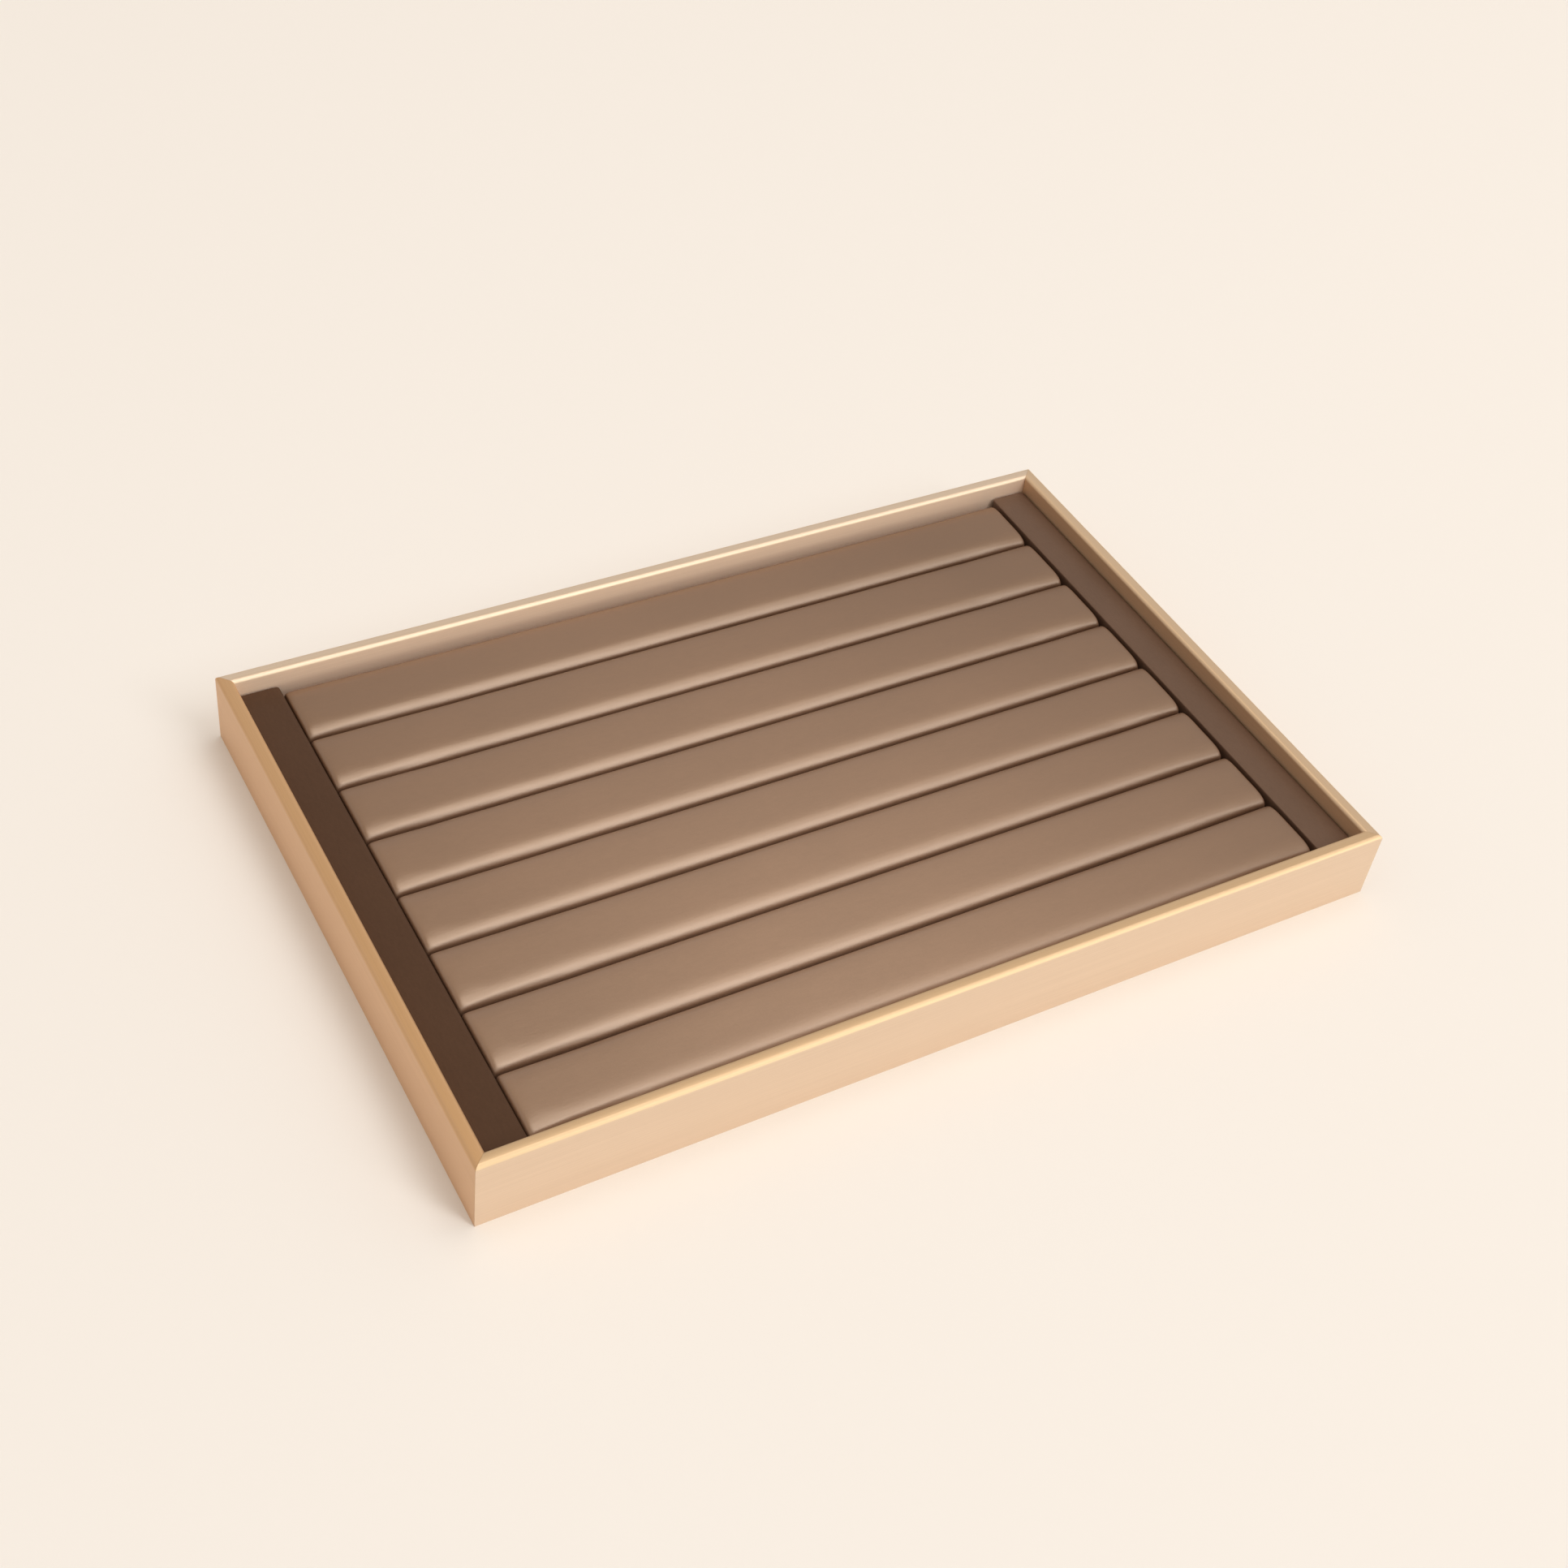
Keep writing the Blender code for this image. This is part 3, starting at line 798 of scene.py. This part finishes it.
def swell(mesh):
    """Let pressure fill a cover that is pinned at its foot, and cap how far each point moves."""
    foot = min(vertex.co.z for vertex in mesh.vertices)
    start = [vertex.co.copy() for vertex in mesh.vertices]
    cover = bpy.data.objects.new(mesh.name + "_swelling", mesh)
    bpy.context.scene.collection.objects.link(cover)
    near_foot = [vertex.index for vertex in mesh.vertices if vertex.co.z < foot + PIN_HEIGHT]
    cover.vertex_groups.new(name="glued").add(near_foot, 1.0, "REPLACE")
    cloth = cover.modifiers.new("cover", "CLOTH")
    cloth.settings.vertex_group_mass = "glued"
    cloth.settings.use_pressure = True
    cloth.settings.uniform_pressure_force = SWELL_PRESSURE
    cloth.settings.effector_weights.gravity = 0.0
    cloth.point_cache.frame_start = 1
    cloth.point_cache.frame_end = SWELL_FRAMES
    scene = bpy.context.scene
    for step in range(1, SWELL_FRAMES + 1):
        scene.frame_set(step)
    filled = cover.evaluated_get(bpy.context.evaluated_depsgraph_get()).to_mesh()
    moves = [vertex.co - old for vertex, old in zip(filled.vertices, start)]
    scene.frame_set(1)
    bpy.data.objects.remove(cover)
    most = max(move.z for move in moves)
    for vertex, old, move in zip(mesh.vertices, start, moves):
        vertex.co = old + Vector((limit(move.x, SWELL_CAP_ASIDE), limit(move.y, SWELL_CAP_ASIDE),
                                  limit(move.z, SWELL_CAP_UP)))
    return most


print("covers may swell by", SWELL_CAP_UP, "m upwards and", SWELL_CAP_ASIDE, "m aside")

# %% Bars
CLOTH_THICKNESS = 0.0009
HEM_WIDTH = 0.0035
BAR_COUNT = 8
BAR_FORM = {"Shoulder": 0.0055, "Power": 4.7, "Left Round": 0.0038, "Right Round": 0.0021,
            "Corner": 0.0010, "Draw In": 0.0004, "Hem": HEM_WIDTH, "Waver": 0.0003,
            "Along": 91, "Across": 25}


def pad_skin(name, values):
    """The pad tree's result for these values, as a plain mesh."""
    carrier = bpy.data.objects.new(name + "_form", bpy.data.meshes.new(name + "_form"))
    modifier = carrier.modifiers.new("pad", "NODES")
    modifier.node_group = PAD_TREE
    for key, value in values.items():
        modifier[PAD_SOCKETS[key]] = value
    bpy.context.scene.collection.objects.link(carrier)
    evaluated = carrier.evaluated_get(bpy.context.evaluated_depsgraph_get())
    mesh = bpy.data.meshes.new_from_object(evaluated)
    mesh.name = name
    bpy.data.objects.remove(carrier)
    return mesh


def finish_cover(piece):
    """One subdivision for the round parts, then the thickness of the cloth."""
    smooth = piece.modifiers.new("round", "SUBSURF")
    smooth.levels = 1
    smooth.render_levels = 1
    wall = piece.modifiers.new("cloth", "SOLIDIFY")
    wall.thickness = CLOTH_THICKNESS
    wall.offset = -1.0
    wall.use_even_offset = True


def wrap_pad(name, node, slot, cloth, form, along_y, foam=True, reach=0.0):
    """A cover in the place of a solid; foam makes it swell, and reach lengthens it towards +X."""
    low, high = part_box(node)
    high.x += reach
    size = high - low
    values = dict(form)
    values["Length"] = size.y if along_y else size.x
    values["Width"] = size.x if along_y else size.y
    values["Turn"] = math.pi / 2 if along_y else 0.0
    values["Centre"] = ((low.x + high.x) / 2, (low.y + high.y) / 2, 0.0)
    values["Foot"] = low.z
    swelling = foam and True
    values["Crown"] = high.z - SWELL_CAP_UP if swelling else high.z
    values["Cloth"] = cloth
    mesh = pad_skin(name, values)
    risen = swell(mesh) if swelling else 0.0
    piece = add_piece(name, mesh, cloth, "insert", slot, node)
    finish_cover(piece)
    print(name, len(mesh.polygons), "faces, swelling", round(risen * 1000, 2), "mm before the cap")


for number in range(1, BAR_COUNT + 1):
    wrap_pad(f"ring_bar_wrap_{number}", f"ring_bar_cover_{number}", "bar_microfibre", BAR_CLOTH,
             {**BAR_FORM, "Seed": float(number)}, along_y=False)

# %% [markdown]
# ## Wrapping the end strips
# The strips across the ends are cloth over board, not over foam, so their edges are tighter and nothing
# swells. They come from the same tree with smaller rounds. The left strip leans against the ends of the
# bars.

# %% End strips
STRIP_FORM = {"Shoulder": 0.0005, "Power": 4.0, "Left Round": 0.0008, "Right Round": 0.0008,
              "Corner": 0.0008, "Draw In": 0.0002, "Hem": HEM_WIDTH, "Waver": 0.0001,
              "Along": 71, "Across": 17}
STRIPS = {
    "left": {"cloth": LEFT_CLOTH, "seed": 21.0, "reach": 0.0003},
    "right": {"cloth": RIGHT_CLOTH, "seed": 22.0, "reach": 0.0},
}
for side, strip in STRIPS.items():
    wrap_pad(f"end_strip_wrap_{side}", f"end_strip_cover_{side}", "strip_microfibre", strip["cloth"],
             {**STRIP_FORM, "Seed": strip["seed"]}, along_y=True, foam=False,
             reach=strip["reach"])

# %% [markdown]
# ## Board, foam and keys
# The bottom panel is fibreboard, and a grey board carries the bars and stiffens the end strips. Inside
# the bars is open-celled foam, and cast keys hold the corners. The solids already have the right
# shapes, so these pieces only get a finish: pressed fibre for the boards, a field of pores for the
# foam, dull grey metal for the keys.

# %% Boards
BOARD_ROUGHNESS = 0.85
BOARD_RELIEF = 0.3


def pressed_board(name, tone, fleck, fibre):
    material, wiring, shader, coords = new_finish(name)
    board = place_group(wiring, FIBRE, {"Vector": coords, "Tone": tone, "Fleck": fleck, "Fibre": fibre})
    wiring.feed(shader.inputs["Base Color"], board["Colour"])
    shader.inputs["Roughness"].default_value = BOARD_ROUGHNESS
    set_bump(wiring, shader, board["Height"], BOARD_RELIEF, NAP_STEP)
    return material


def dress(names, material):
    """Give solids that stay as they are their finish."""
    for name in names:
        nodes[name].data.materials.clear()
        nodes[name].data.materials.append(material)
    print(material.name, "on", len(names), "solids")


fibreboard = pressed_board("fibreboard", solid(0.20, 0.125, 0.07), solid(0.33, 0.22, 0.13), fibre=420.0)
grey_board = pressed_board("grey_board", solid(0.29, 0.25, 0.21), solid(0.42, 0.37, 0.32), fibre=600.0)
dress(["base_panel"], fibreboard)
dress(["insert_board"] + [f"end_strip_core_{side}" for side in STRIPS], grey_board)

# %% Foam
PORE_SCALE = 900.0
PORE_SPAN = (0.05, 0.45)
# The pores are painted darker than the foam between them: painted shade inside the holes.
PORE_SHADE_TONE = solid(0.45, 0.43, 0.38)
FOAM_TONE = solid(0.76, 0.74, 0.69)
FOAM_ROUGHNESS = 0.95
FOAM_RELIEF = 0.6
FOAM_STEP = 0.0004


def open_foam(name):
    material, wiring, shader, coords = new_finish(name)
    cells = wiring.add("ShaderNodeTexVoronoi", {"Vector": coords, "Scale": PORE_SCALE})
    pores = cells.outputs["Distance"]
    share = wiring.between(pores, *PORE_SPAN)
    wiring.feed(shader.inputs["Base Color"], wiring.blend(share, PORE_SHADE_TONE, FOAM_TONE))
    shader.inputs["Roughness"].default_value = FOAM_ROUGHNESS
    set_bump(wiring, shader, pores, FOAM_RELIEF, FOAM_STEP)
    return material


dress([f"ring_bar_core_{number}" for number in range(1, BAR_COUNT + 1)], open_foam("foam"))

# %% Corner keys
ZINC_FINENESS = 700.0
ZINC_DARK = solid(0.50, 0.51, 0.52)
ZINC_LIGHT = solid(0.64, 0.65, 0.66)
ZINC_ROUGHNESS = (0.55, 0.42)
ZINC_RELIEF = 0.3


def cast_zinc(name):
    material, wiring, shader, coords = new_finish(name)
    skin = place_group(wiring, BRUSHING, {"Vector": coords, "Fineness": ZINC_FINENESS})
    wiring.feed(shader.inputs["Base Color"], wiring.blend(skin["Shade"], ZINC_DARK, ZINC_LIGHT))
    wiring.feed(shader.inputs["Roughness"], wiring.between(skin["Shade"], 0.0, 1.0, *ZINC_ROUGHNESS))
    shader.inputs["Metallic"].default_value = 1.0
    set_bump(wiring, shader, skin["Height"], ZINC_RELIEF, NAP_STEP)
    return material


dress([f"corner_key_{end}_{side}" for end in ("front", "back") for side in STRIPS], cast_zinc("key_zinc"))

# %% [markdown]
# ## The felt
# A sheet of felt under the bottom panel keeps a counter from being scratched. It lies flat, so it needs
# no simulation: a thin box is enough, beveled once for its round corners and once more for the soft
# edge of cut felt. The nap is the same effect as on the microfibre, only coarser and without lustre.

# %% Felt finish
FELT_NAP = {"Tone": solid(0.060, 0.040, 0.029), "Tip": solid(0.105, 0.074, 0.055), "Fibre": 700.0,
            "Lie": (0.5, 1.0, 1.0), "Drift": 18.0}
FELT_ROUGHNESS = 0.95
FELT_SHEEN = 0.2
FELT_RELIEF = 0.6
FELT_STEP = 0.0003


def pressed_felt(name):
    material, wiring, shader, coords = new_finish(name)
    nap = place_group(wiring, NAP, {"Vector": coords, **FELT_NAP})
    wiring.feed(shader.inputs["Base Color"], nap["Colour"])
    shader.inputs["Roughness"].default_value = FELT_ROUGHNESS
    shader.inputs["Sheen Weight"].default_value = FELT_SHEEN
    set_bump(wiring, shader, nap["Height"], FELT_RELIEF, FELT_STEP)
    return material


FELT_FINISH = pressed_felt("felt")
print("finish:", FELT_FINISH.name)

# %% Felt sheet
FELT_CORNER = 0.002
FELT_CORNER_STEPS = 6
FELT_EDGE = 0.0003
FELT_EDGE_STEPS = 3
felt_low, felt_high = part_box("base_felt")
felt_size = felt_high - felt_low


def felt_mesh(name):
    """A thin sheet with round corners and softened edges."""
    builder = bmesh.new()
    middle = (felt_low + felt_high) / 2
    bmesh.ops.create_cube(builder, size=1.0, matrix=Matrix.LocRotScale(middle, None, felt_size))

    def rise(edge):
        return abs(edge.verts[0].co.z - edge.verts[1].co.z)

    upright = [edge for edge in builder.edges if rise(edge) > felt_size.z / 2]
    bmesh.ops.bevel(builder, geom=upright, offset=FELT_CORNER, segments=FELT_CORNER_STEPS, profile=0.5,
                    affect="EDGES")
    around = [edge for edge in builder.edges if rise(edge) < felt_size.z / 2]
    bmesh.ops.bevel(builder, geom=around, offset=FELT_EDGE, segments=FELT_EDGE_STEPS, profile=0.5,
                    affect="EDGES")
    return finished_mesh(name, builder)


felt_name = "base_felt_sheet"
felt = add_piece(felt_name, felt_mesh(felt_name), FELT_FINISH, "frame", "felt", "base_felt")
print("felt sheet", [round(side, 4) for side in felt_size])

# %% [markdown]
